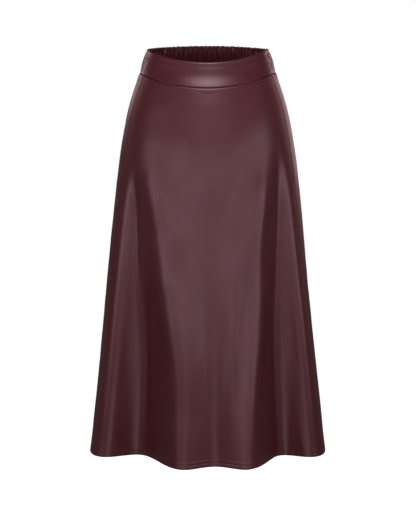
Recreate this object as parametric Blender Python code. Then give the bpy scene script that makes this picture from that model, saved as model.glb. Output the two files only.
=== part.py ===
"""A-line midi skirt in soft leather, worn and filled out, with no wearer.

A flat shaped waistband crosses the front, an elasticated and gathered one crosses the back, and a front and a
back panel flare from them to a wide hem that falls in soft folds. All four are open walls of real thickness.

Metres, +Z up. The front faces -Y. The origin is the centre of the waist, at half the height of the waistband's
side. Angles run round the skirt in degrees: 0 at the wearer's right side (-X), 90 at the front's centre, 180 at
the other side (+X) and 270 at the back's centre. A drop is the distance below the waistband's top at the side.
"""

import math
from collections import namedtuple

import bpy
import numpy as np

# Sizes that drive the skirt.
LENGTH = 0.8045  # side of the waistband's top down to the hem
BAND_DROP = 0.046  # side of the waistband's top down to its seam
TOP_Z = BAND_DROP / 2
FOLD_START = 0.165  # drop at which the folds of the hem begin
FOLD_EASE = 0.15  # how softly they begin, as a share of their length
DIP_POWER = 1.85  # how sharply the waist's dip gathers towards the centre
DIP_LEAN = 0.35  # it is a little wider on the wearer's right
SEAM_ANGLE = 14.0  # the side seams lie this far forward of the sides
SEAM_GAP = 0.0003

# Walls.
PANEL_WALL = 0.0014
HEM_WALL = 0.0026  # the hem is turned up inside, so it is two layers thick
HEM_TURN = 0.014
BAND_WALL = 0.0026
BAND_EDGE_WALL = 0.0017  # at the waistband's folded top edge and its seam
BAND_PROUD = 0.0009  # the waistband stands this far out of the panels
BAND_EDGE = 0.0025

# Gathers that the elastic draws into the back.
GATHERS = 44
PUFF = 0.0013  # how far one tuck of the waistband swells, on each face
PANEL_PUFF = 0.0011
PUFF_FADE = 0.030  # the panel's gathers die away over about this drop
PUFF_END = 0.085
COLUMNS_PER_GATHER = 4
PLAIN_COLUMNS_PER_GATHER = 2

FRONT_COLUMNS = 56
FRONT_BAND_COLUMNS = 40

# The plain form without folds: one row for each level, from the waistband's top to the hem. shift is how far
# the level lies off centre, dip how far it sinks at the front's centre and rise how far it climbs at the back's.
Section = namedtuple("Section", "drop half_width shift front back dip rise")
SECTIONS = [
    Section(0.0000, 0.1184, 0.0000, 0.092, 0.088, 0.024, 0.005),
    Section(0.0230, 0.1267, 0.0000, 0.096, 0.094, 0.026, 0.005),
    Section(0.0460, 0.1331, 0.0000, 0.100, 0.100, 0.028, 0.004),
    Section(0.0770, 0.1450, 0.0000, 0.107, 0.111, 0.027, 0.004),
    Section(0.1250, 0.1592, 0.0000, 0.114, 0.123, 0.024, 0.003),
    Section(0.1970, 0.1726, 0.0001, 0.121, 0.133, 0.017, 0.002),
    Section(0.3000, 0.1853, 0.0000, 0.128, 0.139, 0.008, 0.001),
    Section(0.4500, 0.1999, -0.0010, 0.138, 0.147, 0.002, 0.000),
    Section(0.6200, 0.2170, 0.0000, 0.151, 0.157, 0.000, 0.000),
    Section(LENGTH, 0.2370, 0.0000, 0.165, 0.168, 0.000, 0.000),
]

# The hem's plan: one row for each crest and trough of its folds, for the two sides, and for the middle of
# its two long slopes.
Fold = namedtuple("Fold", "angle across forward")
FOLDS = [
    Fold(0.0, -0.237, 0.000),
    Fold(27.5, -0.192, 0.077),
    Fold(40.5, -0.145, 0.055),
    Fold(64.5, -0.087, 0.148),
    Fold(79.5, -0.041, 0.200),
    Fold(92.0, 0.014, 0.170),
    Fold(105.0, 0.068, 0.199),
    Fold(118.5, 0.108, 0.154),
    Fold(141.5, 0.154, 0.060),
    Fold(153.0, 0.194, 0.077),
    Fold(180.0, 0.237, 0.000),
    Fold(207.0, 0.193, -0.082),
    Fold(221.0, 0.146, -0.068),
    Fold(244.0, 0.092, -0.182),
    Fold(257.0, 0.046, -0.150),
    Fold(270.0, 0.000, -0.197),
    Fold(283.0, -0.045, -0.156),
    Fold(297.0, -0.094, -0.186),
    Fold(319.5, -0.147, -0.066),
    Fold(333.0, -0.192, -0.083),
]

# Drops of the rings that each wall is lofted through.
BAND_RINGS = [0.0, BAND_EDGE, BAND_DROP / 2, BAND_DROP - BAND_EDGE, BAND_DROP - SEAM_GAP / 2]
PANEL_TOP_RINGS = [BAND_DROP + SEAM_GAP / 2, 0.058, 0.076, 0.100, 0.135]
PANEL_LOW_RINGS = [0.185, 0.245, 0.330, 0.440, 0.560, 0.680, LENGTH - HEM_TURN - 0.001, LENGTH - HEM_TURN, LENGTH]

LEATHER = (0.078, 0.026, 0.031, 1.0)


def spline(knots, values, places):
    """The natural cubic spline through the values at the knots, read at the given places."""
    x = np.asarray(knots, float)
    y = np.asarray(values, float)
    gap = np.diff(x)
    slope = np.diff(y) / gap
    last = len(x) - 1
    system = np.zeros((len(x), len(x)))
    right = np.zeros(len(x))
    system[0, :2] = 2, 1
    right[0] = 3 * slope[0]
    system[last, last - 1 :] = 1, 2
    right[last] = 3 * slope[-1]
    for i in range(1, last):
        system[i, i - 1 : i + 2] = gap[i], 2 * (gap[i - 1] + gap[i]), gap[i - 1]
        right[i] = 3 * (gap[i] * slope[i - 1] + gap[i - 1] * slope[i])
    tangent = np.linalg.solve(system, right)
    place = np.clip(np.asarray(places, float), x[0], x[-1])
    i = np.clip(np.searchsorted(x, place, side="right") - 1, 0, last - 1)
    h = gap[i]
    t = (place - x[i]) / h
    return (
        y[i] * (1 + 2 * t) * (1 - t) ** 2
        + y[i + 1] * t * t * (3 - 2 * t)
        + h * tangent[i] * t * (1 - t) ** 2
        - h * tangent[i + 1] * t * t * (1 - t)
    )


def section_value(column, drop):
    """One column of the sections' table at any drop."""
    return spline([s.drop for s in SECTIONS], [getattr(s, column) for s in SECTIONS], drop)


def hem_value(column, angle):
    """One column of the folds' table at any angle. The table is laid three times round, so its ends meet."""
    knots = [f.angle + turn for turn in (-360, 0, 360) for f in FOLDS]
    values = [getattr(f, column) for f in FOLDS] * 3
    return spline(knots, values, np.mod(angle, 360))


def plain_form(angle, drop):
    """Points of the form without folds: x, y, z."""
    turn = np.radians(angle)
    side, ahead = np.cos(turn), np.sin(turn)
    depth = np.where(ahead > 0, section_value("front", drop), section_value("back", drop))
    share = np.abs(ahead) ** (DIP_POWER - DIP_LEAN * side)
    tilt = np.where(ahead > 0, -section_value("dip", drop), section_value("rise", drop))
    across = section_value("shift", drop) - section_value("half_width", drop) * side
    return np.stack([across, -depth * ahead, TOP_Z - drop + tilt * share], axis=-1)


def form(angle, drop):
    """Points of the skirt's outer surface with the hem's folds, which grow from FOLD_START to the hem."""
    angle, drop = np.broadcast_arrays(np.asarray(angle, float), np.asarray(drop, float))
    t = np.clip((drop - FOLD_START) / (LENGTH - FOLD_START), 0, 1)
    grown = (np.hypot(t, FOLD_EASE) - FOLD_EASE) / (math.hypot(1, FOLD_EASE) - FOLD_EASE)
    points = plain_form(angle, drop)
    hem = plain_form(angle, np.full_like(drop, LENGTH))
    points[..., 0] += grown * (hem_value("across", angle) - hem[..., 0])
    points[..., 1] += grown * (-hem_value("forward", angle) - hem[..., 1])
    return points


def directions(angle, drop):
    """The form's unit tangent round the skirt and its unit outward normal."""
    turn_step, drop_step = 0.05, 0.0005
    around = form(angle + turn_step, drop) - form(angle - turn_step, drop)
    down = form(angle, drop + drop_step) - form(angle, drop - drop_step)
    outward = np.cross(down, around)
    around /= np.linalg.norm(around, axis=-1, keepdims=True)
    outward /= np.linalg.norm(outward, axis=-1, keepdims=True)
    return around, outward


def gather_angles(columns_per_gather):
    """Angles of the back's columns, from one side seam to the other, with tucks of uneven width."""
    count = GATHERS * columns_per_gather
    share = np.arange(count + 1) / count
    uneven = 0.0035 * np.sin(6 * math.pi * share) + 0.0025 * np.sin(22 * math.pi * share)
    start, stop = 180 - SEAM_ANGLE, 360 + SEAM_ANGLE
    return start + (stop - start) * (share + uneven)


def tucks(count):
    """How far each of a back ring's columns swells, from 0 in a groove to about 1 on a full tuck."""
    place = np.arange(count + 1) / count * GATHERS
    swell = 0.5 - 0.5 * np.cos(2 * math.pi * place)
    fullness = 0.82 + 0.18 * np.sin(2.4 * place) * np.cos(0.7 * place)
    return swell * fullness


def wall_ring(angle, drop, proud, thickness, puff_out=0.0, puff_in=0.0):
    """One ring of a wall, as its outer and inner points. The two end columns stand back from the side seam."""
    around, outward = directions(angle, np.full(len(angle), drop))
    middle = form(angle, drop) + proud * outward
    middle[0] += around[0] * SEAM_GAP / 2
    middle[-1] -= around[-1] * SEAM_GAP / 2
    lift = np.reshape(puff_out, (-1, 1)) * outward
    sink = np.reshape(puff_in, (-1, 1)) * outward
    return middle + lift, middle - thickness * outward - sink


def strip_faces(upper, lower):
    """Faces between two rows of point numbers. The lower row may have a whole number of times fewer points."""
    step = (len(upper) - 1) // (len(lower) - 1)
    faces = []
    for i in range(len(lower) - 1):
        top = upper[i * step : (i + 1) * step + 1]
        faces.append([lower[i], lower[i + 1], *reversed(top)])
    return faces


def wall(name, rings, material):
    """A closed wall lofted through rings of outer and inner points, with its four rims."""
    points = []
    outer = []
    inner = []
    for outside, inside in rings:
        for rows, ring in ((outer, outside), (inner, inside)):
            rows.append(list(range(len(points), len(points) + len(ring))))
            points.extend(ring)
    faces = []
    for i in range(len(rings) - 1):
        faces += strip_faces(outer[i], outer[i + 1])
        faces += [face[::-1] for face in strip_faces(inner[i], inner[i + 1])]
        faces.append([outer[i][0], inner[i][0], inner[i + 1][0], outer[i + 1][0]])
        faces.append([outer[i + 1][-1], inner[i + 1][-1], inner[i][-1], outer[i][-1]])
    faces += strip_faces(inner[0], outer[0])
    faces += strip_faces(outer[-1], inner[-1])
    mesh = bpy.data.meshes.new(name)
    mesh.from_pydata([tuple(p) for p in points], [], faces)
    mesh.validate()
    mesh.shade_smooth()
    mesh.set_sharp_from_angle(angle=math.radians(50))
    mesh.materials.append(material)
    obj = bpy.data.objects.new(name, mesh)
    return obj


def leather(name, roughness):
    """Smooth dyed leather with a low sheen."""
    material = bpy.data.materials.new(name)
    material.use_nodes = True
    shader = material.node_tree.nodes["Principled BSDF"]
    shader.inputs["Base Color"].default_value = LEATHER
    shader.inputs["Roughness"].default_value = roughness
    shader.inputs["Metallic"].default_value = 0.0
    return material


def band_wall(drop):
    """The waistband's thickness at a ring: thinner where it is folded over and where it is sewn."""
    at_edge = drop in (BAND_RINGS[0], BAND_RINGS[-1])
    return BAND_EDGE_WALL if at_edge else BAND_WALL


def panel_wall(drop):
    """A panel's thickness at a ring: doubled over the turned-up hem."""
    return HEM_WALL if drop >= LENGTH - HEM_TURN else PANEL_WALL


def front_waistband():
    """The flat shaped band across the front."""
    angle = np.linspace(SEAM_ANGLE, 180 - SEAM_ANGLE, FRONT_BAND_COLUMNS + 1)
    rings = [wall_ring(angle, drop, BAND_PROUD, band_wall(drop)) for drop in BAND_RINGS]
    return wall("waistband_front", rings, leather("waistband_front_leather", 0.42))


def back_waistband():
    """The elasticated band across the back, whose two faces swell between their tucks."""
    angle = gather_angles(COLUMNS_PER_GATHER)
    swell = tucks(len(angle) - 1)
    rings = []
    for drop in BAND_RINGS:
        fullness = 0.45 + 0.55 * math.sin(math.pi * drop / BAND_DROP)
        puff = PUFF * fullness * swell
        rings.append(wall_ring(angle, drop, BAND_PROUD, band_wall(drop), puff, puff))
    return wall("waistband_back", rings, leather("waistband_back_leather", 0.48))


def front_panel():
    """The front of the skirt, plain from the seam to the hem."""
    angle = np.linspace(SEAM_ANGLE, 180 - SEAM_ANGLE, FRONT_COLUMNS + 1)
    drops = PANEL_TOP_RINGS + PANEL_LOW_RINGS
    rings = [wall_ring(angle, drop, 0.0, panel_wall(drop)) for drop in drops]
    return wall("skirt_front", rings, leather("skirt_front_leather", 0.45))


def back_panel():
    """The back of the skirt, whose gathers start at the seam and die away below it."""
    angle = gather_angles(COLUMNS_PER_GATHER)
    swell = tucks(len(angle) - 1)
    rings = []
    for drop in PANEL_TOP_RINGS:
        below = drop - BAND_DROP
        fade = math.exp(-below / PUFF_FADE) * max(0.0, 1 - below / PUFF_END)
        puff = PANEL_PUFF * fade * swell
        rings.append(wall_ring(angle, drop, 0.0, panel_wall(drop), puff, -puff))
    angle = gather_angles(PLAIN_COLUMNS_PER_GATHER)
    rings += [wall_ring(angle, drop, 0.0, panel_wall(drop)) for drop in PANEL_LOW_RINGS]
    return wall("skirt_back", rings, leather("skirt_back_leather", 0.45))


def main():
    for obj in list(bpy.data.objects):
        bpy.data.objects.remove(obj)
    skirt = bpy.data.collections.new("leather_skirt")
    bpy.context.scene.collection.children.link(skirt)
    for piece in (front_waistband(), back_waistband(), front_panel(), back_panel()):
        skirt.objects.link(piece)


main()
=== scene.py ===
# %% [markdown]
# # A flared leather skirt, worn and open, with nobody in it
#
# The real skirt is cut from thin faux leather: a shaped waistband and a flared panel for the front, and a
# waistband and a panel for the back, where elastic draws both into fine gathers. This lesson builds those
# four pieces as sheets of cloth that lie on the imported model's form, then sews, colours and lights them.
#
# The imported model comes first. It is loaded as a fixed frame, and nothing in it is moved: each of its
# solids is hidden later by the sheet that stands for it.

# %% Loading the frame
import math
from collections import namedtuple

import bpy
import numpy as np
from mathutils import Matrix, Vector


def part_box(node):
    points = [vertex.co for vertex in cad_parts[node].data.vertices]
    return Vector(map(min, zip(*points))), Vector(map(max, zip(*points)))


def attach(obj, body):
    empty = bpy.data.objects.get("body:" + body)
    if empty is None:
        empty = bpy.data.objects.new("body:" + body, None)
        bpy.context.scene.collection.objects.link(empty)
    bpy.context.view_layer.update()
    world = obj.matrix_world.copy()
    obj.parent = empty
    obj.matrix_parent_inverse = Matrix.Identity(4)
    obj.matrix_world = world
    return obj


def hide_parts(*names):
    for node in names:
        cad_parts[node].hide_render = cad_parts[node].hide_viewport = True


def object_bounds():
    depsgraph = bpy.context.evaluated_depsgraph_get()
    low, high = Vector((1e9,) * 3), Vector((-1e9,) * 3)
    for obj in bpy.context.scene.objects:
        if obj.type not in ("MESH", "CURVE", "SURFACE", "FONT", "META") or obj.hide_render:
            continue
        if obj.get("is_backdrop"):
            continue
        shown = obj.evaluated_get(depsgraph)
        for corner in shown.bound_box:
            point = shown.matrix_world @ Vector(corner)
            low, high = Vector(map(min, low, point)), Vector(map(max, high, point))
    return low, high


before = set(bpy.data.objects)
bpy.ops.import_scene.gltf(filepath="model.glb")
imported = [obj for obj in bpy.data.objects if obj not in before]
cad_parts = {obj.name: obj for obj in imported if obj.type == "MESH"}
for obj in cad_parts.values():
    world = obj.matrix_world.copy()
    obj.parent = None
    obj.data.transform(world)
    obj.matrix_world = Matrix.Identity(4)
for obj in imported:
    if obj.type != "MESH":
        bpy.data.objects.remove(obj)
cad_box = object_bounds()
mm = 0.001
for name in sorted(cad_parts):
    low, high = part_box(name)
    print(name, "is", [round((b - a) / mm) for a, b in zip(low, high)], "mm")

# %% [markdown]
# ## The form that the cloth lies on
#
# A worn skirt is a tube whose section changes on its way down: a narrow oval at the waist, a rounder one
# at the hips, and a wavy ring at the hem, where the spare width of the flare falls in folds. It could be
# modelled by pulling points, but every later step has to know where the surface is. So the form is
# written as a function of two things that a dressmaker knows too: the angle round the body and the drop
# below the waist. These are the same tables that the solids were made from, so cloth and solid agree.

# %% The sizes of the skirt
LENGTH = 0.8045  # side of the waistband's top down to the hem
BAND_DROP = 0.046  # side of the waistband's top down to its seam
TOP_Z = BAND_DROP / 2
FOLD_START = 0.165  # drop at which the folds of the hem begin
FOLD_EASE = 0.15  # how softly they begin, as a share of their length
DIP_POWER = 1.85  # how sharply the waist's dip gathers towards the centre
DIP_LEAN = 0.35  # it is a little wider on the wearer's right
SEAM_ANGLE = 14.0  # degrees by which the side seams lie forward of the sides
FRONT_SPAN = (SEAM_ANGLE, 180 - SEAM_ANGLE)
BACK_SPAN = (180 - SEAM_ANGLE, 360 + SEAM_ANGLE)

Section = namedtuple("Section", "drop half_width shift front back dip rise")
SECTIONS = [
    Section(0.0000, 0.1184, 0.0000, 0.092, 0.088, 0.024, 0.005),
    Section(0.0230, 0.1267, 0.0000, 0.096, 0.094, 0.026, 0.005),
    Section(0.0460, 0.1331, 0.0000, 0.100, 0.100, 0.028, 0.004),
    Section(0.0770, 0.1450, 0.0000, 0.107, 0.111, 0.027, 0.004),
    Section(0.1250, 0.1592, 0.0000, 0.114, 0.123, 0.024, 0.003),
    Section(0.1970, 0.1726, 0.0001, 0.121, 0.133, 0.017, 0.002),
    Section(0.3000, 0.1853, 0.0000, 0.128, 0.139, 0.008, 0.001),
    Section(0.4500, 0.1999, -0.0010, 0.138, 0.147, 0.002, 0.000),
    Section(0.6200, 0.2170, 0.0000, 0.151, 0.157, 0.000, 0.000),
    Section(LENGTH, 0.2370, 0.0000, 0.165, 0.168, 0.000, 0.000),
]

Fold = namedtuple("Fold", "angle across forward")
FOLDS = [
    Fold(0.0, -0.237, 0.000),
    Fold(27.5, -0.192, 0.077),
    Fold(40.5, -0.145, 0.055),
    Fold(64.5, -0.087, 0.148),
    Fold(79.5, -0.041, 0.200),
    Fold(92.0, 0.014, 0.170),
    Fold(105.0, 0.068, 0.199),
    Fold(118.5, 0.108, 0.154),
    Fold(141.5, 0.154, 0.060),
    Fold(153.0, 0.194, 0.077),
    Fold(180.0, 0.237, 0.000),
    Fold(207.0, 0.193, -0.082),
    Fold(221.0, 0.146, -0.068),
    Fold(244.0, 0.092, -0.182),
    Fold(257.0, 0.046, -0.150),
    Fold(270.0, 0.000, -0.197),
    Fold(283.0, -0.045, -0.156),
    Fold(297.0, -0.094, -0.186),
    Fold(319.5, -0.147, -0.066),
    Fold(333.0, -0.192, -0.083),
]
print("the form has", len(SECTIONS), "levels, and", len(FOLDS), "marks round the hem")

# %% [markdown]
# A smooth line through a few marks is a spline. Blender has splines as objects, but here a plain function
# is handier, because whole sheets of points are read from it at once.


# %% A spline through a column of numbers
def spline(knots, values, places):
    """The natural cubic spline through the values at the knots, read at the given places."""
    x = np.asarray(knots, float)
    y = np.asarray(values, float)
    gap = np.diff(x)
    slope = np.diff(y) / gap
    last = len(x) - 1
    system = np.zeros((len(x), len(x)))
    right = np.zeros(len(x))
    system[0, :2] = 2, 1
    right[0] = 3 * slope[0]
    system[last, last - 1 :] = 1, 2
    right[last] = 3 * slope[-1]
    for i in range(1, last):
        system[i, i - 1 : i + 2] = gap[i], 2 * (gap[i - 1] + gap[i]), gap[i - 1]
        right[i] = 3 * (gap[i] * slope[i - 1] + gap[i - 1] * slope[i])
    tangent = np.linalg.solve(system, right)
    place = np.clip(np.asarray(places, float), x[0], x[-1])
    i = np.clip(np.searchsorted(x, place, side="right") - 1, 0, last - 1)
    h = gap[i]
    t = (place - x[i]) / h
    return (
        y[i] * (1 + 2 * t) * (1 - t) ** 2
        + y[i + 1] * t * t * (3 - 2 * t)
        + h * tangent[i] * t * (1 - t) ** 2
        - h * tangent[i + 1] * t * t * (1 - t)
    )


def section_value(column, drop):
    """One column of the sections' table at any drop."""
    return spline([s.drop for s in SECTIONS], [getattr(s, column) for s in SECTIONS], drop)


def hem_value(column, angle):
    """One column of the folds' table at any angle. Laid three times round, the table meets its own ends."""
    knots = [f.angle + turn for turn in (-360, 0, 360) for f in FOLDS]
    values = [getattr(f, column) for f in FOLDS] * 3
    return spline(knots, values, np.mod(angle, 360))


print("hip width", round(2 * float(section_value("half_width", 0.197)) / mm), "mm")


# %% The form
def plain_form(angle, drop):
    """Points of the form without folds: x, y, z."""
    turn = np.radians(angle)
    side, ahead = np.cos(turn), np.sin(turn)
    depth = np.where(ahead > 0, section_value("front", drop), section_value("back", drop))
    share = np.abs(ahead) ** (DIP_POWER - DIP_LEAN * side)
    tilt = np.where(ahead > 0, -section_value("dip", drop), section_value("rise", drop))
    across = section_value("shift", drop) - section_value("half_width", drop) * side
    return np.stack([across, -depth * ahead, TOP_Z - drop + tilt * share], axis=-1)


def form(angle, drop):
    """Points of the skirt's outer surface with the hem's folds, which grow from FOLD_START to the hem."""
    angle, drop = np.broadcast_arrays(np.asarray(angle, float), np.asarray(drop, float))
    t = np.clip((drop - FOLD_START) / (LENGTH - FOLD_START), 0, 1)
    grown = (np.hypot(t, FOLD_EASE) - FOLD_EASE) / (math.hypot(1, FOLD_EASE) - FOLD_EASE)
    points = plain_form(angle, drop)
    hem = plain_form(angle, np.full_like(drop, LENGTH))
    points[..., 0] += grown * (hem_value("across", angle) - hem[..., 0])
    points[..., 1] += grown * (-hem_value("forward", angle) - hem[..., 1])
    return points


TURN_STEP, DROP_STEP = 0.05, 0.0005


def outward(angle, drop):
    """The form's unit normal, which points away from the wearer."""
    around = form(angle + TURN_STEP, drop) - form(angle - TURN_STEP, drop)
    down = form(angle, drop + DROP_STEP) - form(angle, drop - DROP_STEP)
    normal = np.cross(down, around)
    return normal / np.linalg.norm(normal, axis=-1, keepdims=True)


def stretch(angle, drop):
    """Metres of cloth to a degree of turn."""
    around = form(angle + TURN_STEP, drop) - form(angle - TURN_STEP, drop)
    return np.linalg.norm(around, axis=-1) / (2 * TURN_STEP)


def girth(span, drop):
    """The cloth's length round one piece at a drop."""
    edge = form(np.linspace(*span, 721), drop)
    return float(np.linalg.norm(np.diff(edge, axis=0), axis=1).sum())


print("waist", round((girth(FRONT_SPAN, 0.023) + girth(BACK_SPAN, 0.023)) / mm), "mm round")
print("hem sweep", round((girth(FRONT_SPAN, LENGTH) + girth(BACK_SPAN, LENGTH)) / mm), "mm")

# %% [markdown]
# ## Small shapes that every piece uses
#
# Cloth never repeats itself. A tidy sine looks machined at once, so three waves of unrelated lengths are
# added up: the sum wanders, doesn't come round again within a garment, and is still the same on every
# run. Seams, folds and creases are then made of two more small shapes, a soft hill and a soft step.


# %% Wandering lines, hills and steps
def wander(place, kind=0.0):
    """A wandering line between about -1 and 1 that changes once or so for each 1 of place."""
    slow = np.sin(2.3 * place + 1.7 * kind)
    middle = np.sin(3.71 * place + 2.9 * kind + 1.3)
    quick = np.sin(6.13 * place + 4.1 * kind + 0.4)
    return 0.5 * slow + 0.32 * middle + 0.18 * quick


def hill(place, centre, width):
    """A soft hill of height 1 that has all but gone at twice its width."""
    return np.exp(-(((place - centre) / width) ** 2))


def step(place, start, stop):
    """A soft step from 0 at start to 1 at stop. Start may be the higher one."""
    t = np.clip((place - start) / (stop - start), 0, 1)
    return t * t * (3 - 2 * t)


# %% [markdown]
# ## A sheet of cloth from a flat grid
#
# Each piece starts as one flat grid, added as by hand, and every point of the grid is then moved to its
# place on the skirt. A grid keeps its rows and columns, so a turned-up hem or a folded edge is only a row
# that carries on round the bend. It also leaves the piece a UV map, which is stretched to real metres, so
# a knitted backing can follow the cloth. A Solidify modifier then gives the sheet its thickness, on the
# side that faces the wearer.
#
# A point's place has two parts. Its out is how far the cloth lies from the form, for both faces of a fold
# alike. Its rise is measured along the cloth's own face, which looks outwards on the outside, down at the
# hem's edge and inwards where the cloth is turned up. Facing gives that direction in degrees: 0 is
# outwards, 90 is down, -90 is up, and both 180 and -180 are inwards.


# %% A flat grid, and its place on the skirt
def flat_grid(name, columns, rows):
    """A grid with that many columns and rows of points, named and lying flat."""
    bpy.ops.object.select_all(action="DESELECT")
    bpy.ops.mesh.primitive_grid_add(x_subdivisions=columns - 1, y_subdivisions=rows - 1, size=2)
    sheet = bpy.context.object
    sheet.name = name
    sheet.data.name = name
    return sheet


def face_directions(angle, drop, facing):
    """The form's outward direction, and the direction in which the cloth's own face looks."""
    away = outward(angle, drop)
    down = form(angle, drop + DROP_STEP) - form(angle, drop - DROP_STEP)
    down /= np.linalg.norm(down, axis=-1, keepdims=True)
    turn = np.radians(facing)[..., None]
    return away, np.cos(turn) * away + np.sin(turn) * down


Laid = namedtuple("Laid", "sheet points face")


def lay(name, angle, drop, out, facing, rise):
    """A sheet whose rows run down the cloth, with its points and the direction of its face at each."""
    angle, drop, out, facing, rise = np.broadcast_arrays(angle, drop, out, facing, rise)
    rows, columns = out.shape
    sheet = flat_grid(name, columns, rows)
    away, face = face_directions(angle, drop, facing)
    points = form(angle, drop) + out[..., None] * away + rise[..., None] * face
    sheet.data.vertices.foreach_set("co", points[::-1].ravel())
    metric_uv(sheet, points[::-1])
    sheet.data.update()
    return Laid(sheet, points, face)


def metric_uv(sheet, points):
    """Sets the UV map to metres along the cloth, from the middle column and the last row."""
    across = np.linalg.norm(np.diff(points, axis=1), axis=2)
    along = np.linalg.norm(np.diff(points, axis=0), axis=2)
    u = np.pad(np.cumsum(across, axis=1), ((0, 0), (1, 0)))
    u = u - u[:, -1:] / 2
    v = np.pad(np.cumsum(along, axis=0), ((1, 0), (0, 0)))
    corner = np.empty(len(sheet.data.loops), int)
    sheet.data.loops.foreach_get("vertex_index", corner)
    uv = np.stack([u.ravel(), v.ravel()], axis=1)[corner]
    sheet.data.uv_layers.active.data.foreach_set("uv", uv.ravel())


CRISP = 50  # an edge that turns by more degrees than this stays crisp


def thicken(sheet, thickness):
    """Gives a sheet its thickness on the inner side. The inner face takes the piece's second material."""
    bpy.ops.object.select_all(action="DESELECT")
    sheet.select_set(True)
    bpy.context.view_layer.objects.active = sheet
    solid = sheet.modifiers.new("thickness", "SOLIDIFY")
    solid.thickness = thickness
    solid.offset = -1.0
    solid.material_offset = 1
    solid.material_offset_rim = 1
    bpy.ops.object.modifier_apply(modifier=solid.name)
    bpy.ops.object.shade_smooth_by_angle(angle=math.radians(CRISP))
    triangles = sum(len(face.vertices) - 2 for face in sheet.data.polygons)
    print(sheet.name, "has", triangles, "triangles")


# %% [markdown]
# ## Leather, its knitted backing and the thread
#
# Faux leather is a knitted cloth with a skin of coloured polyurethane. The skin is smooth and satin: it
# reflects the studio softly, brightest where it faces the lamps. Close by it has a fine pebbled grain,
# under a millimetre across, and over a hand's width the colour and the sheen drift a little. Each of
# these is its own layer of nodes. They read Object coordinates, which are metres here, so a scale of 1000
# gives cells of about 1 mm.


# %% Node helpers
def new_material(name):
    """An empty material with its shader, and functions that add a node and link two sockets."""
    material = bpy.data.materials.new(name)
    material.use_nodes = True
    tree = material.node_tree
    shader = tree.nodes["Principled BSDF"]

    def add(kind, **values):
        node = tree.nodes.new(kind)
        for key, value in values.items():
            if hasattr(node, key):
                setattr(node, key, value)
            else:
                node.inputs[key.replace("_", " ")].default_value = value
        return node

    return material, shader, add, tree.links.new


# %% The leather
GLOSS_DRIFT = 0.04  # how far the roughness drifts to either side of its middle
PORES = 0.35  # how much the pores count beside the pebbles
FACE_ON_TINT = (1.0, 0.72, 0.82, 1.0)  # of what the skin reflects where it is seen face on


def leather(name, deep, light, roughness, grain):
    """Satin faux leather that drifts between two colours. grain is the height of its pebbles in metres."""
    material, shader, add, link = new_material(name)
    place = add("ShaderNodeTexCoord").outputs["Object"]
    drift = add("ShaderNodeTexNoise", Scale=22.0, Detail=3.0, Roughness=0.55)
    mottle = add("ShaderNodeTexNoise", Scale=260.0, Detail=2.0)
    pebbles = add("ShaderNodeTexVoronoi", feature="SMOOTH_F1", Scale=1050.0, Smoothness=0.6)
    pores = add("ShaderNodeTexNoise", Scale=2600.0, Detail=2.0)
    for texture in (drift, mottle, pebbles, pores):
        link(place, texture.inputs["Vector"])

    colour = add("ShaderNodeMix", data_type="RGBA")
    colour.inputs["A"].default_value = (*deep, 1)
    colour.inputs["B"].default_value = (*light, 1)
    blend = add("ShaderNodeMapRange", From_Min=0.3, From_Max=0.7)
    link(drift.outputs["Fac"], blend.inputs["Value"])
    link(blend.outputs["Result"], colour.inputs["Factor"])
    link(colour.outputs["Result"], shader.inputs["Base Color"])

    gloss = add("ShaderNodeMapRange", From_Min=0.25, From_Max=0.75)
    gloss.inputs["To Min"].default_value = roughness - GLOSS_DRIFT
    gloss.inputs["To Max"].default_value = roughness + GLOSS_DRIFT
    link(mottle.outputs["Fac"], gloss.inputs["Value"])
    link(gloss.outputs["Result"], shader.inputs["Roughness"])

    raised = add("ShaderNodeMath", operation="MULTIPLY_ADD")
    raised.inputs[1].default_value = PORES
    link(pores.outputs["Fac"], raised.inputs[0])
    link(pebbles.outputs["Distance"], raised.inputs[2])
    relief = add("ShaderNodeBump", Strength=1.0, Distance=grain, invert=True)
    link(raised.outputs["Value"], relief.inputs["Height"])
    link(relief.outputs["Normal"], shader.inputs["Normal"])

    shader.inputs["IOR"].default_value = 1.5
    shader.inputs["Specular Tint"].default_value = FACE_ON_TINT
    shader.inputs["Coat Weight"].default_value = 0.06
    shader.inputs["Coat Roughness"].default_value = 0.28
    return material


DEEP_BURGUNDY = (0.057, 0.0110, 0.0140)
WARM_BURGUNDY = (0.067, 0.0130, 0.0165)
PANEL_LEATHER = leather("panel_leather", DEEP_BURGUNDY, WARM_BURGUNDY, 0.38, 0.00005)
BAND_LEATHER = leather("waistband_leather", DEEP_BURGUNDY, WARM_BURGUNDY, 0.36, 0.00004)
GATHERED_LEATHER = leather("gathered_leather", DEEP_BURGUNDY, WARM_BURGUNDY, 0.40, 0.00006)
print("three leathers mixed")


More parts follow.
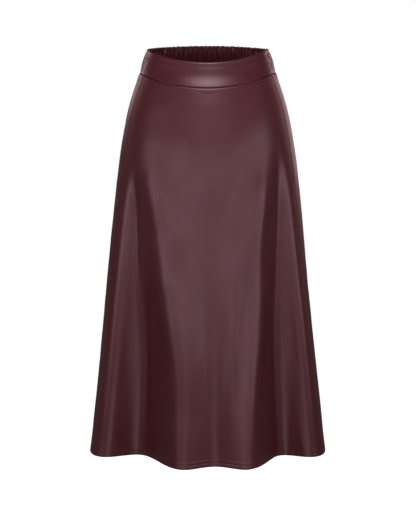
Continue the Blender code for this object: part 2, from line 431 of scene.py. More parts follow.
# %% The knitted backing and the thread
def knit(name, colour):
    """The leather's back: a fine dull knit whose wales run down the cloth, on the UV map's metres."""
    material, shader, add, link = new_material(name)
    place = add("ShaderNodeUVMap").outputs["UV"]
    wales = add("ShaderNodeTexWave", wave_type="BANDS", bands_direction="X", Scale=340.0, Distortion=1.2)
    link(place, wales.inputs["Vector"])
    fuzz = add("ShaderNodeTexNoise", Scale=900.0, Detail=3.0)
    link(add("ShaderNodeTexCoord").outputs["Object"], fuzz.inputs["Vector"])
    shade = add("ShaderNodeMix", data_type="RGBA")
    shade.inputs["A"].default_value = (*[0.7 * c for c in colour], 1)
    shade.inputs["B"].default_value = (*[1.25 * c for c in colour], 1)
    link(fuzz.outputs["Fac"], shade.inputs["Factor"])
    link(shade.outputs["Result"], shader.inputs["Base Color"])
    relief = add("ShaderNodeBump", Strength=0.6, Distance=0.0001)
    link(wales.outputs["Fac"], relief.inputs["Height"])
    link(relief.outputs["Normal"], shader.inputs["Normal"])
    shader.inputs["Roughness"].default_value = 0.9
    shader.inputs["Specular IOR Level"].default_value = 0.2
    shader.inputs["Sheen Weight"].default_value = 0.15
    return material


BACKING = knit("knitted_backing", (0.045, 0.020, 0.023))


def thread(name, colour):
    """Twisted polyester thread."""
    material, shader, add, link = new_material(name)
    twist = add("ShaderNodeTexNoise", Scale=3200.0, Detail=1.0)
    link(add("ShaderNodeTexCoord").outputs["Object"], twist.inputs["Vector"])
    shade = add("ShaderNodeMix", data_type="RGBA")
    shade.inputs["A"].default_value = (*[0.8 * c for c in colour], 1)
    shade.inputs["B"].default_value = (*[1.3 * c for c in colour], 1)
    link(twist.outputs["Fac"], shade.inputs["Factor"])
    link(shade.outputs["Result"], shader.inputs["Base Color"])
    shader.inputs["Roughness"].default_value = 0.55
    return material


THREAD = thread("burgundy_thread", (0.070, 0.020, 0.024))
print("backing and thread mixed")

# %% [markdown]
# ## Seams and turned edges
#
# Where two pieces are sewn, each turns in at the seam, goes round a bend little wider than its own
# thickness and comes back flat behind itself: the seam is pressed open. The outside shows a narrow ditch
# with a rounded lip on both sides, and a low flat ridge as wide as the allowance behind it. A hem is the
# same bend once more, along the lower edge. So one arc serves them all, and the columns beside a seam are
# placed in millimetres from it instead of in degrees.

# %% Sizes of seams and edges
CLOTH = 0.0008  # the leather's thickness
SEAM_GAP = 0.0003  # between the waistband and the panels
HAIRLINE = 0.00004  # half of what is left open between two sewn edges
SEAM_BEND = 0.0009  # radius of the cloth's bend into a seam
ALLOWANCE = 0.010  # width of the cloth behind a side seam
BEHIND = np.array([1.0, 0.7, 0.4, 0.15])  # the columns across the allowance, as shares of it
BESIDE = np.array([0.5, 1.1, 1.9, 2.9]) * mm  # the first columns beyond the bend
HEM_TURN = 0.014
HEM_BEND = 0.0011  # radius of the hem's fold
BAND_BEND = 0.00125  # radius of the waistband's folded top
BAND_PROUD = 0.0009  # the waistband stands this far out of the panels
BAND_ROUND = 0.0018  # radius of the waistband's lower edge
BUTTED_DIP = 0.0003  # how far two butted edges dip where they meet
SEAM_LIP = 0.00012  # height of the fuller lip beside a side seam
SEAM_RIDGE = 0.00035  # height of the ridge over its allowance


# %% Columns from one side seam to the other
Columns = namedtuple("Columns", "angle rise distance outside")


def turned_edge(allowance, fold):
    """How far the columns beside a seam lie from it, their rises, and which of them are outside.

    Fold is 1 where the edge is turned in and 0 where two edges lie flat and butted."""
    facing = np.linspace(180, 0, 9)
    turn = np.radians(facing)
    lip = HAIRLINE + SEAM_BEND * (1 - np.sin(turn))
    behind = lip[0] + allowance * BEHIND
    depth = np.append(np.full(len(BEHIND), 2 * SEAM_BEND), SEAM_BEND * (1 - np.cos(turn)))
    # The butted columns crowd at the seam, so that no gap opens where the turned edge begins.
    butted = np.append(np.linspace(HAIRLINE, 0.00014, 8), np.linspace(0.0003, lip[-1], 5))
    rows = np.ones_like(allowance)
    distance = fold * np.hstack([behind, rows * lip]) + (1 - fold) * butted
    rise = -fold * depth - (1 - fold) * BUTTED_DIP * (1 - butted / lip[-1]) ** 2
    distance = np.hstack([distance, rows * (lip[-1] + BESIDE)])
    rise = np.hstack([rows * rise, rows * np.zeros(len(BESIDE))])
    outside = np.concatenate([np.zeros(len(BEHIND)), facing < 90, np.ones(len(BESIDE))])
    return distance, rise, rows * outside


def sewn_columns(span, middle, drop, allowance, fold):
    """The columns of a piece, at every row, with its edges turned in at both side seams."""
    distance, rise, outside = turned_edge(allowance, fold)
    left = span[0] + distance / stretch(np.full_like(drop, span[0]), drop)
    right = span[1] - distance[:, ::-1] / stretch(np.full_like(drop, span[1]), drop)
    angle = np.hstack([left, np.ones_like(drop) * middle, right])
    far = np.minimum(angle - span[0], span[1] - angle) * stretch(angle, drop)
    flat = np.zeros((len(drop), len(middle)))
    return Columns(
        angle,
        np.hstack([rise, flat, rise[:, ::-1]]),
        far,
        np.hstack([outside, flat + 1, outside[:, ::-1]]),
    )


def pressed_open(columns, allowance):
    """How the allowance behind a side seam shows on the outside: a low flat ridge and a fuller lip."""
    lip = SEAM_LIP * hill(columns.distance, 0.0028, 0.0014)
    ridge = SEAM_RIDGE * step(columns.distance, allowance + 0.004, allowance - 0.002)
    return columns.outside * (lip + ridge)


def bend(centre_drop, centre_out, radius, start, stop, count):
    """Drops, outs and facings of a fold, from one direction to another: 0 is outwards and 90 is down."""
    facing = np.linspace(start, stop, count)
    turn = np.radians(facing)
    return centre_drop + radius * np.sin(turn), centre_out + radius * np.cos(turn), facing


SEAM_EDGE = int((turned_edge(np.array([[ALLOWANCE]]), 1.0)[1] < 0).sum())
print("a turned edge has", SEAM_EDGE, "columns below the surface")

# %% [markdown]
# ## Creases placed one by one
#
# The big folds of the hem are in the form already. Between them the leather has softer troughs and ridges
# of its own: it is stiff enough to keep a few long lines from hip to knee, and too stiff for small
# wrinkles. A cloth simulation would put them wherever it liked, so here each is a row in a table: where
# it starts and ends, where it is deepest, how wide it is and how far it leans. No two are alike. A
# negative depth is a ridge.

# %% The creases of the front
Crease = namedtuple("Crease", "angle lean top deepest bottom width depth")
FRONT_CREASES = [
    Crease(50.0, 60.0, 0.170, 0.280, 0.500, 0.0340, -0.0125),
    Crease(61.0, 48.0, 0.340, 0.460, 0.720, 0.0460, -0.0130),
    Crease(35.5, 17.0, 0.200, 0.330, 0.660, 0.0125, 0.0065),
    Crease(47.5, -3.0, 0.340, 0.620, 0.860, 0.0140, 0.0065),
    Crease(31.0, -12.0, 0.180, 0.480, 0.860, 0.0170, -0.0035),
    Crease(129.5, -44.0, 0.160, 0.290, 0.500, 0.0240, -0.0110),
    Crease(126.0, -33.0, 0.330, 0.500, 0.800, 0.0240, -0.0085),
    Crease(143.0, -12.0, 0.150, 0.330, 0.660, 0.0130, 0.0065),
    Crease(136.0, 0.0, 0.340, 0.620, 0.860, 0.0140, 0.0050),
    Crease(150.0, 18.0, 0.180, 0.480, 0.860, 0.0150, -0.0055),
    Crease(73.0, 3.0, 0.130, 0.250, 0.460, 0.0170, 0.0040),
    Crease(78.0, 4.0, 0.280, 0.450, 0.640, 0.0300, 0.0035),
    Crease(111.5, -50.0, 0.150, 0.265, 0.470, 0.0160, 0.0040),
    Crease(110.0, -34.0, 0.330, 0.600, 0.860, 0.0130, -0.0035),
    Crease(115.2, -25.0, 0.300, 0.520, 0.860, 0.0150, 0.0050),
    Crease(84.5, 0.0, 0.360, 0.560, 0.780, 0.0130, -0.0025),
    Crease(108.0, -11.0, 0.360, 0.600, 0.830, 0.0210, 0.0060),
]


def creased(table, angle, drop):
    """How far the creases of a table move each point in or out."""
    scale = stretch(angle, drop)
    out = np.zeros(scale.shape)
    for crease in table:
        centre = crease.angle + crease.lean * (drop - crease.top)
        aside = (angle - centre) * scale / crease.width
        fade = step(drop, crease.top, crease.deepest) * step(drop, crease.bottom, crease.deepest)
        out -= crease.depth * hill(aside, 0, 1) * fade
    return out


print(len(FRONT_CREASES), "creases on the front")

# %% [markdown]
# Two slower shapes lie under the creases. The front stands out over the belly: it starts to fill in the
# waistband's lower half, is fullest some 180 mm down and falls back below that, sooner towards the hips
# than in front. And no sheet of leather is ever quite flat, so all of it rises and sinks by a hair.

# %% The belly, and the leather's own unevenness
HANG = 0.0048  # how far the front stands out where it leaves the waistband
FULLNESS = 0.0040  # what the belly adds to that
FALL_BACK = 0.0046  # what is taken away again below the belly
TO_THE_HIPS = 0.0045  # and what is taken away on its way to the hips
UNEVEN = 0.0004  # height of the leather's own unevenness
UNEVEN_ROUND, UNEVEN_DOWN = 0.045, 0.11  # its reach round the body and down it


def belly(angle, drop):
    """The front's soft fullness. It begins in the waistband's lower half, and the cloth hangs from it."""
    start = HANG * step(drop, 0.020, 0.052) * (1 - step(drop, 0.200, 0.620))
    level = drop + 0.00035 * (angle - 92)
    full = FULLNESS * step(level, 0.090, 0.182) - FALL_BACK * step(level, 0.188, 0.345)
    slant = drop + 0.0005 * (angle - 90)
    shoulders = step(np.abs(angle - 90), 14, 40) * step(slant, 0.125, 0.240) * step(slant, 0.370, 0.240)
    settled = 1 - step(drop, 0.420, 0.760)
    swell = start + full * settled - TO_THE_HIPS * shoulders
    return swell * step(angle, 20, 60) * step(angle, 160, 120)


def hand(angle, drop, kind):
    """The leather's slow unevenness, under a millimetre, that no flat sheet is without."""
    along, down = angle * stretch(angle, drop) / UNEVEN_ROUND, drop / UNEVEN_DOWN
    wave = wander(along + 0.6 * wander(down, kind + 1), kind) * (0.7 + 0.3 * wander(down, kind + 2))
    return UNEVEN * wave * step(drop, BAND_DROP + 0.004, BAND_DROP + 0.05)


stands_out = (belly(90.0, np.array([0.060, 0.183, 0.400])) / mm).round(1)
print("the front stands out", stands_out, "mm below the seam, at the belly and at the thigh")

# %% [markdown]
# ## The front panel
#
# The largest piece: cut to shape at the waist, flared to the hem, and turned up inside by 14 mm. Its rows
# start in the ditch under the waistband, run down the outside, go round the hem's bend and climb 14 mm
# inside. The turned-up edge shows on the outside as a faint line, and the stitches pull a shallow groove
# above the fold.

# %% Rows down a panel
Rows = namedtuple("Rows", "drop out facing")
HEM_STITCH = 0.008  # the row of stitches above the hem
FLARE_ROWS = 100


def as_rows(parts):
    """Stretches of drops, outs and facings, one below the other, as columns of numbers."""
    return Rows(*(np.concatenate(values)[:, None] for values in zip(*parts)))


def flat_stretch(drop, out, facing):
    """A stretch of rows that all have the same out and facing."""
    return drop, np.full(len(drop), out), np.full(len(drop), float(facing))


def panel_rows():
    """A panel's rows without creases: ditch, outside, hem and turning."""
    top = BAND_DROP + SEAM_GAP / 2
    ditch = top + np.array([0, 0.15, 0.35, 0.6, 0.9, 1.3, 1.8, 2.4, 3.1, 4, 5, 6.2, 7.6, 9.2, 11, 13]) * mm
    edge = LENGTH - HEM_BEND
    above_edge = [24, 20, 17.5, 16, 15, 14, 13, 11.5, 10, 9.2, 8.5, 8, 7.5, 6.8, 6, 4.5, 3, 1.8, 0.8]
    foot = edge - np.array(above_edge) * mm
    flare = np.linspace(ditch[-1], foot[0], FLARE_ROWS + 1)[1:-1]
    turning = edge - np.array([1, 2.5, 4.5, 7, 9.5, 11.5, 13]) * mm
    return as_rows(
        [
            flat_stretch(np.concatenate([ditch, flare, foot]), 0.0, 0),
            bend(edge, -HEM_BEND, HEM_BEND, 0, 180, 13),
            flat_stretch(turning, -2 * HEM_BEND, 180),
        ]
    )


panel = panel_rows()
print("a panel has", len(panel.drop), "rows")


# %% What shows at a panel's top and at its hem
DITCH, DITCH_WIDTH = 0.0010, 0.0005  # depth and width of the ditch under the waistband
DITCH_LIP = 0.0008  # height of the rounded lip below it
GROOVE = 0.00022  # depth of the groove that the hem's stitches pull
HEM_ROLL = 0.00010  # how much fuller the hem is below them
TURNING_PRINT = 0.00022  # how far the turned-up part stands out, seen from outside
TRIMMED = 0.04  # the share of the side allowance that is left inside the hem


def under_the_band(rows):
    """The panel's top comes out of the ditch and over a rounded lip."""
    below = rows.drop - BAND_DROP
    lip = DITCH_LIP * step(below, 0, 0.0040) * step(below, 0.030, 0.0045)
    return (rows.facing < 45) * (lip - DITCH * np.exp(-below / DITCH_WIDTH))


def above_the_hem(rows):
    """The groove of the stitches and the faint print of the turning's edge."""
    above = LENGTH - rows.drop
    groove = -GROOVE * hill(above, HEM_STITCH, 0.0011) + HEM_ROLL * hill(above, 0.0045, 0.0022)
    printed = TURNING_PRINT * step(above, HEM_TURN + 0.0012, HEM_TURN - 0.0008)
    return (rows.facing < 45) * (groove + printed)


def side_edges(rows):
    """The side allowances' width, trimmed away inside the hem, and how far the edge is folded at each row."""
    above = np.where(rows.facing < 45, LENGTH - rows.drop, 0)
    width = ALLOWANCE * (TRIMMED + (1 - TRIMMED) * step(above, HEM_TURN + 0.001, HEM_TURN + 0.005))
    return width, step(above, HEM_TURN - 0.003, HEM_TURN + 0.001)


def drag_lines(angle, drop):
    """Two faint lines that the seam draws into the leather, near the front's centre."""
    below = drop - BAND_DROP
    near = hill(angle, 84, 26)
    rise = 0.004 * wander(angle / 14, 3)
    first = hill(below, 0.0085 + rise, 0.0022)
    second = hill(below, 0.0165 - rise, 0.0035)
    return -near * (0.00022 * first + 0.00018 * second)


# %% Laying the front panel
EDGE_DEGREES = 3.4  # the turned edge beside each side seam takes this much of the turn


def between_edges(span, count):
    """Evenly spread columns between a piece's two turned edges."""
    return np.linspace(span[0] + EDGE_DEGREES, span[1] - EDGE_DEGREES, count)


def make_up(laid, leather_side):
    """Gives a laid sheet its leather, its knitted back and its thickness."""
    laid.sheet.data.materials.append(leather_side)
    laid.sheet.data.materials.append(BACKING)
    thicken(laid.sheet, CLOTH)


width, fold = side_edges(panel)
front = sewn_columns(FRONT_SPAN, between_edges(FRONT_SPAN, 201), panel.drop, width, fold)
front_out = (
    panel.out
    + drag_lines(front.angle, panel.drop)
    + creased(FRONT_CREASES, front.angle, panel.drop)
    + belly(front.angle, panel.drop)
    + hand(front.angle, panel.drop, 0)
)
front_rise = front.rise + pressed_open(front, width) + under_the_band(panel) + above_the_hem(panel)
skirt_front = lay("skirt_front_leather", front.angle, panel.drop, front_out, panel.facing, front_rise)
make_up(skirt_front, PANEL_LEATHER)

# %% [markdown]
# ## The front waistband
#
# A strip folded double over a stiff interlining, so it lies flat where the back one gathers. Its outer
# face ends in the seam, and its inner face runs on past the seam, where it is sewn down and covers all
# the raw edges. Its top is a pressed fold with a soft hollow under it, and its lower half is fuller.
# Near the side seams the back's elastic pulls at it and raises a few short puckers.

# %% Rows round a waistband
BAND_INNER = BAND_PROUD - 2 * BAND_BEND
COVER, COVER_OUT = 0.008, -0.0028  # the inner face ends this far below the seam, clear of the panel


def band_rows():
    """A waistband's rows: up the inside, over the folded top and down the outside into the seam."""
    foot = BAND_DROP - SEAM_GAP / 2
    climb = np.array([5, 2, 0, -2, -4, -6, -8, -11, -16, -22, -28, -34, -39, -43]) * mm
    inside = foot + np.append(COVER, climb)
    shelf = COVER_OUT + (BAND_INNER - COVER_OUT) * step(inside, foot - 0.002, foot - 0.009)
    face = np.linspace(BAND_BEND, foot - 0.003, 33)[1:]
    hem = foot - np.array([2.3, 1.7, 1.2, 0.8, 0.5, 0.25, 0.08, 0]) * mm
    return as_rows(
        [
            (inside, shelf, np.full(len(inside), -180.0)),
            bend(BAND_BEND, BAND_PROUD - BAND_BEND, BAND_BEND, -180, 0, 13),
            flat_stretch(np.concatenate([face, hem]), BAND_PROUD, 0),
        ]
    )


band = band_rows()
band_outside = (band.facing > -45).astype(float)
band_edge = np.full_like(band.drop, 0.0004), step(band.facing, -150, -30)
print("a waistband has", len(band.drop), "rows")


def into_the_seam(rows):
    """The waistband's lower edge rounds into the ditch."""
    above = BAND_DROP - SEAM_GAP / 2 - rows.drop
    reach = np.clip(1 - above / BAND_ROUND, 0, 1)
    return (rows.facing > -45) * BAND_ROUND * (np.sqrt(np.maximum(0, 1 - reach**2)) - 1)


# %% The front waistband's face
EDGE_ROLL = 0.0011  # how far the top edge rolls inwards
UNDER_EDGE = 0.00035  # depth of the soft hollow under it
LOWER_HALF = 0.0005  # how much fuller the lower half is
PUCKER = 0.0011  # height of a pucker at the side seam
PUCKER_REACH = 0.0085  # over this distance from the seam they shrink to about a third


def pressed_face(angle, drop):
    """A rolled top edge with a soft hollow under it, and a fuller lower half."""
    edge = -EDGE_ROLL * np.clip(1 - drop / 0.0038, 0, 1) ** 1.7
    depth = UNDER_EDGE * (1 + 0.5 * wander(angle / 9, 5))
    hollow = -depth * hill(drop, 0.0080, 0.0035)
    fuller = LOWER_HALF * hill(drop, 0.0430, 0.0120)
    return edge + hollow + fuller


def puckers(columns, drop):
    """Short upright puckers beside the side seams, where flat band meets elastic."""
    side = np.where(columns.angle < 90, 0.0, 2.0)
    fade = np.exp(-columns.distance / PUCKER_REACH) * step(columns.distance, 0.0005, 0.0025)
    height = step(drop, 0.002, 0.012) * step(drop, 0.046, 0.030)
    wave = wander(columns.distance / 0.0021 + 0.8 * wander(drop / 0.012, side), side + 6)
    return columns.outside * PUCKER * fade * height * wave


front_band = sewn_columns(FRONT_SPAN, between_edges(FRONT_SPAN, 191), band.drop, *band_edge)
face_shape = pressed_face(front_band.angle, band.drop) + puckers(front_band, band.drop)
band_rise = front_band.rise + into_the_seam(band) + band_outside * face_shape
band_out = band.out + belly(front_band.angle, band.drop)
waistband_front = lay(
    "waistband_front_leather", front_band.angle, band.drop, band_out, band.facing, band_rise
)
make_up(waistband_front, BAND_LEATHER)

# %% [markdown]
# ## The gathers of the back
#
# Elastic is sewn into the back waistband while stretched. When it lets go, the leather has nowhere to go
# but out, and stands up in tucks. Each tuck is round on top and narrow in its groove, and no two are the
# same width or height. So the tucks follow a phase that wanders, and their swell is a rounded wave with a
# finer one on top. Below the waistband the same tucks run on into the panel and die away, some sooner and
# some later.

# %% Tucks
GATHERS = 44
TUCK_COLUMNS = 12  # columns to a tuck in the waistband, and half as many in the panel


def tuck_phase(angle):
    """The number of tucks passed up to an angle, uneven in width."""
    share = (angle - BACK_SPAN[0]) / (BACK_SPAN[1] - BACK_SPAN[0])
    even = share - 0.0035 * np.sin(6 * math.pi * share) - 0.0025 * np.sin(22 * math.pi * share)
    return GATHERS * even


def tucks(angle, drop, kind, split=0.0):
    """How far the tucks swell: 0 in a groove, about 1 on a full one. Split parts each of them in two."""
    place = tuck_phase(angle)
    lean = 0.20 * wander(place / 3.1, kind) * np.sin(drop / 0.013 + kind + wander(place / 2.3, kind))
    whole = np.abs(np.sin(math.pi * (place + lean))) ** 0.7
    parted = np.abs(np.sin(2 * math.pi * (place + 0.5 * lean + 0.2))) ** 0.8
    wave = whole + split * (parted - whole)
    fullness = 0.66 + 0.34 * wander(place * 0.9, kind + 5)
    fine = 0.34 * wander(place * 2.3 + drop / 0.013, kind + 3)
    return (wave + fine) * fullness


# %% The back waistband
PUFF = 0.0017  # height of a full tuck outside
PUFF_INSIDE = 0.0042  # the elastic lets the inner layer stand up further
STRAY = 0.0035  # how far the inner layer's gathers stray up and down
HEADER = 0.0042  # the row of stitches that closes the elastic's casing


def casing(drop):
    """How full the casing is at each drop: pinched by two rows of stitches, full between them."""
    pinch = 0.75 * hill(drop, HEADER, 0.0017) + 0.8 * hill(drop, BAND_DROP - 0.0025, 0.0020)
    full = 0.45 + 0.55 * np.sin(math.pi * np.clip(drop / BAND_DROP, 0, 1))
    return np.clip(full - 0.6 * pinch, 0, 1)


band_columns = between_edges(BACK_SPAN, GATHERS * TUCK_COLUMNS + 1)
back_band = sewn_columns(BACK_SPAN, band_columns, band.drop, *band_edge)
inner = band.facing < -90
puff = np.where(inner, PUFF_INSIDE, PUFF)
uneven = band.drop + np.where(inner, STRAY, 0.0) * wander(tuck_phase(back_band.angle) * 0.9, 7)
tucked = tucks(back_band.angle, band.drop, np.where(inner, 2.0, 0.0), np.where(inner, 0.1, 0.0))
swell = puff * casing(uneven) * tucked
away_from_seams = step(back_band.distance, 0.001, 0.006) * back_band.outside
band_rise = back_band.rise + into_the_seam(band) + swell * away_from_seams
waistband_back = lay("waistband_back_leather", back_band.angle, band.drop, band.out, band.facing, band_rise)
make_up(waistband_back, GATHERED_LEATHER)

# %% The back panel
PANEL_PUFF = 0.0019  # height of a full tuck at the panel's top
TUCK_FALL = 0.034  # how far down the panel it reaches
TUCK_EASE = 0.09  # the smaller this is, the sooner its bends draw out on their way down
BACK_CREASES = [
    Crease(221.0, -14.0, 0.220, 0.350, 0.620, 0.0150, 0.0055),
    Crease(209.0, 6.0, 0.240, 0.380, 0.580, 0.0120, -0.0015),
    Crease(243.0, 4.0, 0.160, 0.300, 0.520, 0.0180, 0.0014),
    Crease(257.5, 0.0, 0.280, 0.420, 0.640, 0.0160, 0.0028),
    Crease(270.5, 2.0, 0.120, 0.240, 0.420, 0.0200, 0.0012),
    Crease(284.0, -2.0, 0.300, 0.450, 0.660, 0.0150, 0.0026),
    Crease(301.0, -5.0, 0.180, 0.290, 0.470, 0.0170, 0.0013),
    Crease(318.5, 10.0, 0.210, 0.340, 0.600, 0.0145, 0.0060),
    Crease(331.5, -5.0, 0.250, 0.370, 0.560, 0.0125, -0.0014),
]


def falling_tucks(angle, drop):
    """The panel's tucks, which die away below the seam unevenly."""
    below = np.maximum(drop - BAND_DROP, 0)
    reach = TUCK_FALL * (1 + 0.45 * wander(tuck_phase(angle) / 1.4, 8))
    longer = 1 + below / TUCK_EASE
    return PANEL_PUFF * np.exp(-((below / reach) ** 1.2)) * tucks(angle, drop / longer, 0)


panel_columns = between_edges(BACK_SPAN, GATHERS * TUCK_COLUMNS // 2 + 1)
back = sewn_columns(BACK_SPAN, panel_columns, panel.drop, width, fold)
away_from_seams = step(back.distance, 0.001, 0.006) * back.outside
back_out = (
    panel.out
    + falling_tucks(back.angle, panel.drop) * away_from_seams
    + creased(BACK_CREASES, back.angle, panel.drop)
    + hand(back.angle, panel.drop, 4)
)
back_rise = back.rise + pressed_open(back, width) + under_the_band(panel) + above_the_hem(panel)
skirt_back = lay("skirt_back_leather", back.angle, panel.drop, back_out, panel.facing, back_rise)
make_up(skirt_back, PANEL_LEATHER)

# %% [markdown]
# ## Stitches
#
# One stitch is modelled by hand, a sphere with few faces stretched into a short rod, and repeated along
# each sewn line. Hundreds of separate objects would be slow, so a line's stitches become one mesh.

# %% One stitch
STITCH_LENGTH, STITCH_PITCH, THREAD_WIDTH = 0.0030, 0.0038, 0.00042

bpy.ops.object.select_all(action="DESELECT")
bpy.ops.mesh.primitive_uv_sphere_add(segments=6, ring_count=5, radius=0.5)
model_stitch = bpy.context.object
bpy.ops.object.mode_set(mode="EDIT")
bpy.ops.mesh.select_all(action="SELECT")
bpy.ops.transform.rotate(value=math.radians(90), orient_axis="Y", center_override=(0, 0, 0))
bpy.ops.transform.resize(value=(STITCH_LENGTH, THREAD_WIDTH, THREAD_WIDTH))
bpy.ops.object.mode_set(mode="OBJECT")
stitch_points = np.array([v.co for v in model_stitch.data.vertices])
# Blender may list the faces in another order on each run, so they are sorted.
stitch_faces = sorted(tuple(face.vertices) for face in model_stitch.data.polygons)
bpy.data.objects.remove(model_stitch)
stitch_span = round(np.ptp(stitch_points[:, 0]) / mm, 1)
print("one stitch has", len(stitch_faces), "faces and is", stitch_span, "mm long")


# %% A row of stitches
def stitch_row(name, laid, row):
    """Stitches along one row of a laid sheet, sunk by a third into the cloth."""
    line, normal = laid.points[row, SEAM_EDGE:-SEAM_EDGE], laid.face[row, SEAM_EDGE:-SEAM_EDGE]
    run = np.concatenate([[0], np.cumsum(np.linalg.norm(np.diff(line, axis=0), axis=1))])
    places = np.arange(STITCH_PITCH / 2, run[-1] - STITCH_LENGTH / 2, STITCH_PITCH)

    def read(values, at):
        return np.stack([np.interp(at, run, values[:, k]) for k in range(3)], axis=1)

    middle = read(line, places)
    along = read(line, places + STITCH_LENGTH / 2) - read(line, places - STITCH_LENGTH / 2)
    along /= np.linalg.norm(along, axis=1, keepdims=True)
    across = np.cross(read(normal, places), along)
    across /= np.linalg.norm(across, axis=1, keepdims=True)
    up = np.cross(along, across)
    middle += up * THREAD_WIDTH / 6
    axes = np.stack([along, across, up], axis=1)
    points = middle[:, None, :] + np.einsum("pk,skj->spj", stitch_points, axes)
    count = len(stitch_points)
    faces = [tuple(i * count + v for v in face) for i in range(len(places)) for face in stitch_faces]
    mesh = bpy.data.meshes.new(name)
    mesh.from_pydata(points.reshape(-1, 3).tolist(), [], faces)
    mesh.shade_smooth()
    mesh.materials.append(THREAD)
    row_object = bpy.data.objects.new(name, mesh)
    bpy.context.scene.collection.objects.link(row_object)
    print(name, "has", len(places), "stitches")
    return row_object


def row_at(rows, drop, facing):
    """The number of the row that lies closest to a drop on the cloth's outside or inside."""
    away = np.abs(rows.drop - drop) + (np.abs(rows.facing - facing) > 1)
    return int(np.argmin(away))


# %% Sewing the hem and the casing
hem_row = row_at(panel, LENGTH - HEM_STITCH, 0)
header_row = row_at(band, HEADER, 0)
header_inside = row_at(band, HEADER, -180)
stitches = [
    (stitch_row("hem_stitches_front", skirt_front, hem_row), "skirt_leather"),
    (stitch_row("hem_stitches_back", skirt_back, hem_row), "skirt_leather"),
    (stitch_row("casing_stitches_outside", waistband_back, header_row), "gathered_leather"),
    (stitch_row("casing_stitches_inside", waistband_back, header_inside), "gathered_leather"),
]

# %% [markdown]
# ## Each piece's body
#
# Each sheet stands for one solid and rides on the skirt's only body. The gathered waistband's cut is wider
# than the waist it fits.

# %% Bodies
pieces = [
    (skirt_front.sheet, "skirt_front", "skirt_leather", (0.686, 0.786), 0.395, "hung"),
    (skirt_back.sheet, "skirt_back", "skirt_leather", (0.970, 0.790), 0.575, "hung"),
    (waistband_front.sheet, "waistband_front", "waistband_leather", (0.330, 0.105), 0.034, "hung"),
    (waistband_back.sheet, "waistband_back", "gathered_leather", (0.560, 0.105), 0.055, "gathered"),
]
for piece, node, slot, flat, area, held in pieces:
    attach(piece, "root")
    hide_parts(node)
for row, slot in stitches:
    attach(row, "root")

# %% [markdown]
# ## The studio
#
# A plain pale floor, a white surround, and soft lamps. Satin leather shows its shape by what it reflects,
# so the lamps are large sheets of light. At a glancing angle it reflects its surroundings untinted, so
# the faint light of the room and the lamps behind the edges are rose, and the edges stay red. The camera
# stands in front, level with the waist, with a long lens.

# %% Floor and surround
FLOOR_Z = -1.08
FLOOR_GLOW = 0.97  # so the floor is as pale as the backdrop
ROOM_LIGHT = 0.10
WHITE, ROSE = (1.0, 1.0, 1.0), (1.0, 0.70, 0.75)
bpy.ops.object.select_all(action="DESELECT")
bpy.ops.mesh.primitive_circle_add(vertices=96, radius=9.0, fill_type="NGON", location=(0, 0, FLOOR_Z))
floor = bpy.context.object
floor.name = "studio_floor"
bpy.ops.object.transform_apply(location=True)
floor_paint, floor_shader, _, _ = new_material("pale_floor")
floor_shader.inputs["Base Color"].default_value = (0.4, 0.4, 0.4, 1)
floor_shader.inputs["Roughness"].default_value = 0.8
floor_shader.inputs["Emission Color"].default_value = (1, 1, 1, 1)
floor_shader.inputs["Emission Strength"].default_value = FLOOR_GLOW
floor.data.materials.append(floor_paint)
# The floor glows for the camera alone. It neither lights the leather nor shows in it.
floor.visible_diffuse = False
floor.visible_glossy = False
floor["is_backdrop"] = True

# The camera sees a white backdrop, and the leather a dim room.
world = bpy.data.worlds.new("studio")
bpy.context.scene.world = world
world.use_nodes = True
nodes, links = world.node_tree.nodes, world.node_tree.links
backdrop = nodes["Background"]
backdrop.inputs["Color"].default_value = (1, 1, 1, 1)
backdrop.inputs["Strength"].default_value = 1.0
room = nodes.new("ShaderNodeBackground")
room.inputs["Color"].default_value = (*ROSE, 1)
room.inputs["Strength"].default_value = ROOM_LIGHT
seen = nodes.new("ShaderNodeLightPath")
choice = nodes.new("ShaderNodeMixShader")
links.new(seen.outputs["Is Camera Ray"], choice.inputs["Fac"])
links.new(room.outputs["Background"], choice.inputs[1])
links.new(backdrop.outputs["Background"], choice.inputs[2])
links.new(choice.outputs["Shader"], nodes["World Output"].inputs["Surface"])


# %% Lamps
Lamp = namedtuple("Lamp", "name azimuth elevation width height watts colour")
LAMPS = [
    Lamp("front", 0, 1, 0.7, 0.3, 2.3, WHITE),
    Lamp("front_left", -22, 1, 0.6, 0.4, 2.5, WHITE),
    Lamp("front_right", 22, 1, 0.6, 0.4, 2.2, WHITE),
    Lamp("side_left", -44, 2, 0.6, 0.6, 2.7, WHITE),
    Lamp("side_right", 44, 2, 0.6, 0.6, 2.7, WHITE),
    Lamp("far_left", -66, 0, 0.6, 0.8, 4.1, WHITE),
    Lamp("far_right", 66, 0, 0.6, 0.8, 4.1, WHITE),
    Lamp("bounce", 0, -31, 1.0, 0.6, 2.8, WHITE),
    Lamp("high", 0, 35, 0.7, 0.5, 2.8, WHITE),
    Lamp("top", 0, 52, 0.7, 0.5, 13.5, WHITE),
    Lamp("rim_left", -137, 20, 0.4, 0.7, 3.4, ROSE),
    Lamp("rim_right", 137, 13, 0.38, 0.9, 4.6, ROSE),
    Lamp("back", 180, 6, 1.0, 0.7, 5.0, WHITE),
]
LAMP_REACH, LAMP_AIM = 1.7, Vector((0, 0, -0.2))


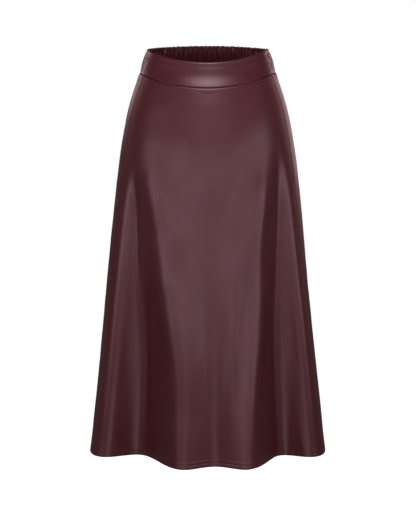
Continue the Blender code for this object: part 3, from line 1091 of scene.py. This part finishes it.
def hang_lamp(lamp):
    """A softbox on a ball round the skirt, facing its middle. Azimuth 0 is in front, 90 at the right."""
    data = bpy.data.lights.new(lamp.name, "AREA")
    data.shape = "RECTANGLE"
    data.size, data.size_y = lamp.width, lamp.height
    data.energy = lamp.watts
    data.color = lamp.colour
    turn, lift = math.radians(lamp.azimuth), math.radians(lamp.elevation)
    towards = Vector((math.sin(turn) * math.cos(lift), -math.cos(turn) * math.cos(lift), math.sin(lift)))
    light = bpy.data.objects.new(lamp.name, data)
    light.location = LAMP_AIM + LAMP_REACH * towards
    light.rotation_euler = towards.to_track_quat("Z", "Y").to_euler()
    light.visible_camera = False
    bpy.context.scene.collection.objects.link(light)


for lamp in LAMPS:
    hang_lamp(lamp)
print(len(LAMPS), "lamps of", round(sum(lamp.watts for lamp in LAMPS)), "watts in all")

# %% Camera
SENSOR = 36.0
PICTURE_HEIGHT = 520  # pixels, in a picture 416 wide
PIXEL = 0.0020  # metres of skirt to a pixel
DISTANCE = 4.2
EYE_HEIGHT = 0.05  # of the camera above the waistband's top
AIM_X = 0.0005
AIM_DROP = 0.4195

camera_data = bpy.data.cameras.new("camera")
camera = bpy.data.objects.new("camera", camera_data)
camera.location = (AIM_X, -DISTANCE, TOP_Z + EYE_HEIGHT)
target = Vector((AIM_X, 0, TOP_Z - AIM_DROP))
camera_data.sensor_width = SENSOR
camera_data.lens = SENSOR * (target - camera.location).length / (PIXEL * PICTURE_HEIGHT)
camera.rotation_euler = (target - camera.location).to_track_quat("-Z", "Y").to_euler()
bpy.context.scene.collection.objects.link(camera)
bpy.context.scene.camera = camera
bpy.context.scene.view_settings.view_transform = "Standard"
print("lens", round(camera_data.lens, 1), "mm")

# %% [markdown]
# ## The size
#
# The box round the dressed skirt and the box round the solids are both printed. The box round the
# dressed skirt may reach a few millimetres past the box round the solids, and no more.

# %% Sizes
seen_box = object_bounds()
for title, (low, high) in (("solids", cad_box), ("cloth", seen_box)):
    print(title, [round((b - a) / mm, 1) for a, b in zip(low, high)], "mm")
